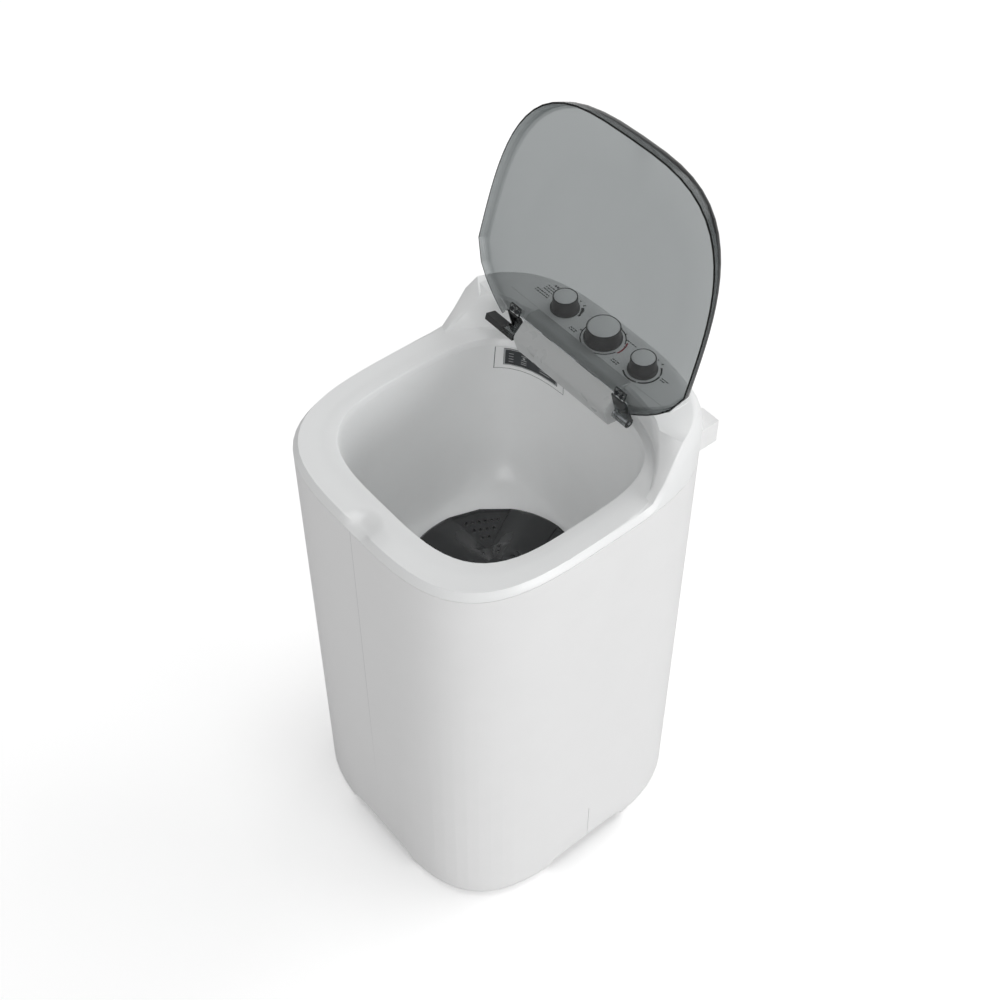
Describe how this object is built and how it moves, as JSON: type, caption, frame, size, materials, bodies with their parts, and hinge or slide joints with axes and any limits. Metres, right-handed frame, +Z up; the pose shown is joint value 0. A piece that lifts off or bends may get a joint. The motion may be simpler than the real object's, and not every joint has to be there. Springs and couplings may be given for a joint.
{
  "type": "washing_machine",
  "caption": "Top-loading semi-automatic washing machine, white square-round cabinet, smoked lid open on its hinge, three control knobs, five-vane dark pulsator in the tub",
  "frame": {"origin": "on the floor under the middle of the cabinet, in its left-right plane of symmetry; the spigot at the back puts the middle of the whole box about 8 mm further back", "axes": "+Z up, the front of the cabinet faces -Y, the console and lid hinge are at +Y, +X is to the right seen from the front"},
  "size_m": [0.554, 0.6075, 1.41],
  "materials": {
    "white_plastic": "textured white polypropylene of the cabinet",
    "white_gloss": "satin white moulding of the deck",
    "tub_plastic": "light grey polypropylene of the tub",
    "grey_plastic": "mid grey plastic",
    "dark_plastic": "near black plastic",
    "knob_grey": "light grey knob cap",
    "lid_plastic": "smoked translucent lid plastic",
    "steel": "zinc plated steel",
    "grey_enamel": "grey enamelled motor shell",
    "cast_alloy": "cast aluminium",
    "bronze": "sintered bronze",
    "black_rubber": "black rubber"
  },
  "bodies": {
    "cabinet_body": {"cabinet_front_left": "white_plastic", "cabinet_front_right": "white_plastic", "cabinet_rear_left": "white_plastic", "cabinet_rear_right": "white_plastic", "feet": "white_plastic", "foot_blocks": "white_plastic", "deck": "white_gloss", "tub": "tub_plastic", "hinge_cover": "grey_plastic", "hinge_pins": "steel", "inner_panel": "tub_plastic", "label_plate": "white_gloss", "control_panel": "white_gloss", "rear_cover": "white_plastic", "cover_screws": "steel", "tub_screws": "steel", "hose_hook": "grey_plastic", "cord_gland": "black_rubber", "timer_left": "dark_plastic", "timer_centre": "dark_plastic", "timer_right": "dark_plastic", "bearing_housing": "cast_alloy", "upper_bush": "bronze", "lower_bush": "bronze", "shaft_seal": "black_rubber", "housing_bolts": "steel", "motor_plate": "steel", "plate_screws": "steel", "motor": "grey_enamel", "motor_bolts": "steel", "capacitor": "white_plastic", "capacitor_clip": "steel", "drain_elbow": "grey_plastic", "outlet_grommet": "black_rubber", "drive_belt": "black_rubber"},
    "lid_body": {"lid": "lid_plastic", "hinge_arm_left": "dark_plastic", "hinge_arm_right": "dark_plastic", "arm_screws": "steel"},
    "left_control": {"knob_left": "dark_plastic", "cap_left": "knob_grey", "spindle_left": "steel"},
    "centre_control": {"knob_centre": "dark_plastic", "cap_centre": "knob_grey", "spindle_centre": "steel"},
    "right_control": {"knob_right": "dark_plastic", "cap_right": "knob_grey", "spindle_right": "steel"},
    "pulsator_body": {"pulsator": "dark_plastic", "pulsator_insert": "bronze", "hub_cap": "dark_plastic", "pulsator_bolt": "steel", "drive_shaft": "steel", "drive_pulley": "cast_alloy", "pulley_nut": "steel"},
    "motor_rotor": {"motor_shaft": "steel", "motor_pulley": "cast_alloy", "cooling_fan": "grey_plastic"}
  },
  "joints": [
    {"name": "lid_hinge", "type": "hinge", "parent": "cabinet_body", "child": "lid_body", "pos_m": [0, 0.165, 0.968], "axis": [1, 0, 0], "range_deg": [0, 106.4]},
    {"name": "wash_select", "type": "hinge", "parent": "cabinet_body", "child": "left_control", "pos_m": [-0.096, 0.231, 1.02], "axis": [0, 0, 1], "range_deg": [-90, 90]},
    {"name": "wash_timer", "type": "hinge", "parent": "cabinet_body", "child": "centre_control", "pos_m": [0, 0.231, 1.02], "axis": [0, 0, 1], "range_deg": [-300, 0]},
    {"name": "drain_select", "type": "hinge", "parent": "cabinet_body", "child": "right_control", "pos_m": [0.096, 0.231, 1.02], "axis": [0, 0, 1], "range_deg": [-90, 90]},
    {"name": "pulsator_spin", "type": "hinge", "parent": "cabinet_body", "child": "pulsator_body", "pos_m": [0, 0, 0.56], "axis": [0, 0, 1], "continuous": true},
    {"name": "motor_spin", "type": "hinge", "parent": "cabinet_body", "child": "motor_rotor", "pos_m": [0.165, 0, 0.42], "axis": [0, 0, 1], "continuous": true}
  ],
  "couplings": [
    {"joint": "motor_spin", "follows": "pulsator_spin", "ratio": 3.5}
  ]
}
